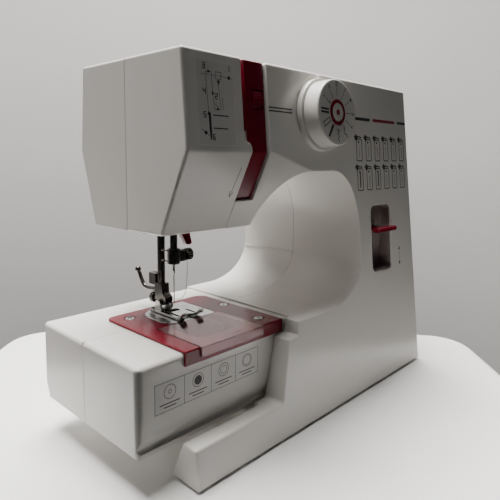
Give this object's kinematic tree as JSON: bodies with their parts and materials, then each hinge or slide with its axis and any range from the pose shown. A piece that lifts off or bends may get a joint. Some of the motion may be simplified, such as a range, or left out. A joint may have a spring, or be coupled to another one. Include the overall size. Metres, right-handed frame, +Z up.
{
  "type": "sewing machine",
  "caption": "Compact free-arm sewing machine with a stitch dial, drop-in bobbin, red thread strip and lever-sprung presser foot.",
  "frame": {"origin": "bottom centre of the machine's bounding box, on the table", "axes": "+X from the needle end to the hand wheel, +Y from the front panel to the back, +Z up"},
  "size_m": [0.3508, 0.1478, 0.284],
  "materials": {
    "white_abs": "glossy moulded off-white",
    "red_abs": "glossy moulded deep red",
    "clear_plastic": "clear, polished",
    "bright_steel": "polished and nickel plated",
    "dark_steel": "dark nickel plated, satin",
    "cast_alloy": "as cast",
    "plated_steel": "zinc plated sheet",
    "motor_steel": "pressed steel case",
    "black_plastic": "matt black",
    "black_rubber": "moulded rubber",
    "bronze": "sintered bronze",
    "thread": "twisted cotton"
  },
  "bodies": {
    "machine_body": {"front_housing": "white_abs", "rear_housing": "white_abs", "head_cover": "white_abs", "arm_front_shell": "white_abs", "arm_rear_shell": "white_abs", "dial_ring": "white_abs", "thread_strip": "red_abs", "plate_cover": "red_abs", "lamp_lens": "clear_plastic", "plate_screw_1": "bright_steel", "plate_screw_2": "bright_steel", "plate_screw_3": "bright_steel", "needle_plate": "bright_steel", "head_screw": "bright_steel", "chassis": "cast_alloy", "base_plate": "plated_steel", "motor": "motor_steel", "bobbin_case": "black_plastic", "motor_mount": "black_plastic", "power_inlet": "black_plastic", "foot_front_left": "black_rubber", "foot_front_right": "black_rubber", "foot_rear_left": "black_rubber", "foot_rear_right": "black_rubber", "motor_belt": "black_rubber", "timing_belt": "black_rubber", "shaft_bush_left": "bronze", "shaft_bush_right": "bronze"},
    "hand_wheel_set": {"hand_wheel": "white_abs", "main_shaft": "bright_steel", "crank_disc": "cast_alloy", "main_pulley": "black_plastic"},
    "motor_rotor": {"motor_pulley": "bright_steel"},
    "lower_shaft_set": {"lower_shaft": "bright_steel"},
    "hook_set": {"hook": "dark_steel"},
    "bobbin_set": {"bobbin": "clear_plastic"},
    "needle_set": {"needle_bar": "dark_steel", "needle_clamp": "dark_steel", "needle": "bright_steel", "upper_thread": "thread"},
    "clamp_screw_set": {"clamp_screw": "dark_steel"},
    "take_up": {"take_up_lever": "bright_steel"},
    "presser_set": {"presser_bar": "dark_steel", "presser_block": "cast_alloy", "foot_ankle": "dark_steel", "presser_spring": "bright_steel"},
    "presser_lifter_set": {"presser_lifter": "white_abs"},
    "foot_set": {"presser_foot": "bright_steel"},
    "foot_release": {"foot_release_lever": "dark_steel"},
    "ankle_screw_set": {"ankle_screw": "dark_steel"},
    "feed": {"feed_dog": "bright_steel"},
    "bobbin_lid": {"bobbin_cover": "clear_plastic"},
    "stitch_selector": {"stitch_dial": "white_abs", "dial_cap": "red_abs"},
    "tension_wheel": {"tension_dial": "red_abs"},
    "reverse": {"reverse_lever": "red_abs"},
    "spool": {"spool_pin": "red_abs"},
    "winder": {"winder_spindle": "white_abs"},
    "switch": {"power_switch": "black_plastic"},
    "threader": {"threader_tab": "red_abs"}
  },
  "joints": [
    {"name": "hand_wheel_turn", "type": "hinge", "parent": "machine_body", "child": "hand_wheel_set", "pos_m": [0.0294, 0.02591, 0.24], "axis": [1, 0, 0], "continuous": true},
    {"name": "motor_turn", "type": "hinge", "parent": "machine_body", "child": "motor_rotor", "pos_m": [0.1324, -0.02409, 0.048], "axis": [1, 0, 0], "continuous": true},
    {"name": "lower_shaft_turn", "type": "hinge", "parent": "machine_body", "child": "lower_shaft_set", "pos_m": [0.0114, 0.01591, 0.0452], "axis": [1, 0, 0], "continuous": true},
    {"name": "hook_turn", "type": "hinge", "parent": "machine_body", "child": "hook_set", "pos_m": [-0.0951, -0.01209, 0.056], "axis": [0, 0, 1], "continuous": true},
    {"name": "bobbin_turn", "type": "hinge", "parent": "machine_body", "child": "bobbin_set", "pos_m": [-0.0951, -0.01209, 0.0616], "axis": [0, 0, 1], "continuous": true},
    {"name": "needle_bar_slide", "type": "slide", "parent": "machine_body", "child": "needle_set", "axis": [0, 0, 1], "range_m": [-0.02, 0.012], "deforming": ["upper_thread"]},
    {"name": "clamp_screw_turn", "type": "hinge", "parent": "needle_set", "child": "clamp_screw_set", "pos_m": [-0.0915, 0.01541, 0.131], "axis": [1, 0, 0], "range_deg": [-360, 90]},
    {"name": "take_up_swing", "type": "hinge", "parent": "machine_body", "child": "take_up", "pos_m": [-0.0853, -0.01209, 0.232], "axis": [1, 0, 0], "range_deg": [-20, 32]},
    {"name": "presser_bar_slide", "type": "slide", "parent": "machine_body", "child": "presser_set", "axis": [0, 0, 1], "range_m": [0, 0.0055], "deforming": ["presser_spring"]},
    {"name": "presser_lift", "type": "hinge", "parent": "machine_body", "child": "presser_lifter_set", "pos_m": [-0.0946, 0.04691, 0.166], "axis": [1, 0, 0], "range_deg": [0, 45]},
    {"name": "foot_tilt", "type": "hinge", "parent": "presser_set", "child": "foot_set", "pos_m": [-0.0946, 0.02981, 0.0909], "axis": [1, 0, 0], "range_deg": [-5, 0]},
    {"name": "foot_release_press", "type": "hinge", "parent": "presser_set", "child": "foot_release", "pos_m": [-0.0946, 0.03781, 0.1006], "axis": [1, 0, 0], "range_deg": [0, 12], "stiffness_Nm_per_rad": 0.2},
    {"name": "ankle_screw_turn", "type": "hinge", "parent": "presser_set", "child": "ankle_screw_set", "pos_m": [-0.0946, 0.03521, 0.093], "axis": [0, 1, 0], "range_deg": [-360, 90]},
    {"name": "feed_dog_travel", "type": "slide", "parent": "machine_body", "child": "feed", "axis": [0, 1, 0], "range_m": [-0.0025, 0.0025]},
    {"name": "bobbin_cover_slide", "type": "slide", "parent": "machine_body", "child": "bobbin_lid", "axis": [0, -1, 0], "range_m": [0, 0.03]},
    {"name": "stitch_dial_turn", "type": "hinge", "parent": "machine_body", "child": "stitch_selector", "pos_m": [-0.0024, -0.05235, 0.2416], "axis": [0, -0.996, 0.0896], "continuous": true},
    {"name": "tension_dial_turn", "type": "hinge", "parent": "machine_body", "child": "tension_wheel", "pos_m": [-0.0703, -0.03659, 0.2475], "axis": [1, 0, 0], "range_deg": [-150, 150]},
    {"name": "reverse_lever_press", "type": "hinge", "parent": "machine_body", "child": "reverse", "pos_m": [0.0894, -0.01609, 0.143], "axis": [1, 0, 0], "range_deg": [0, 28], "stiffness_Nm_per_rad": 0.5, "springref_deg": -5.73},
    {"name": "spool_pin_raise", "type": "slide", "parent": "machine_body", "child": "spool", "axis": [0, 0, 1], "range_m": [0, 0.045]},
    {"name": "winder_engage", "type": "slide", "parent": "machine_body", "child": "winder", "axis": [1, 0, 0], "range_m": [0, 0.006]},
    {"name": "power_switch_rock", "type": "hinge", "parent": "machine_body", "child": "switch", "pos_m": [0.15115, 0.03641, 0.073], "axis": [0, 0, 1], "range_deg": [0, 10]},
    {"name": "threader_pull", "type": "slide", "parent": "machine_body", "child": "threader", "axis": [0, 0, 1], "range_m": [-0.015, 0], "stiffness_N_per_m": 10, "springref_m": 0.01}
  ],
  "couplings": [
    {"joint": "motor_turn", "follows": "hand_wheel_turn", "ratio": 3.6667},
    {"joint": "lower_shaft_turn", "follows": "hand_wheel_turn", "ratio": 1},
    {"joint": "hook_turn", "follows": "hand_wheel_turn", "ratio": 2},
    {"joint": "take_up_swing", "follows": "needle_bar_slide", "rad_per_m": -27},
    {"joint": "presser_lift", "follows": "presser_bar_slide", "rad_per_m": 142.7}
  ]
}
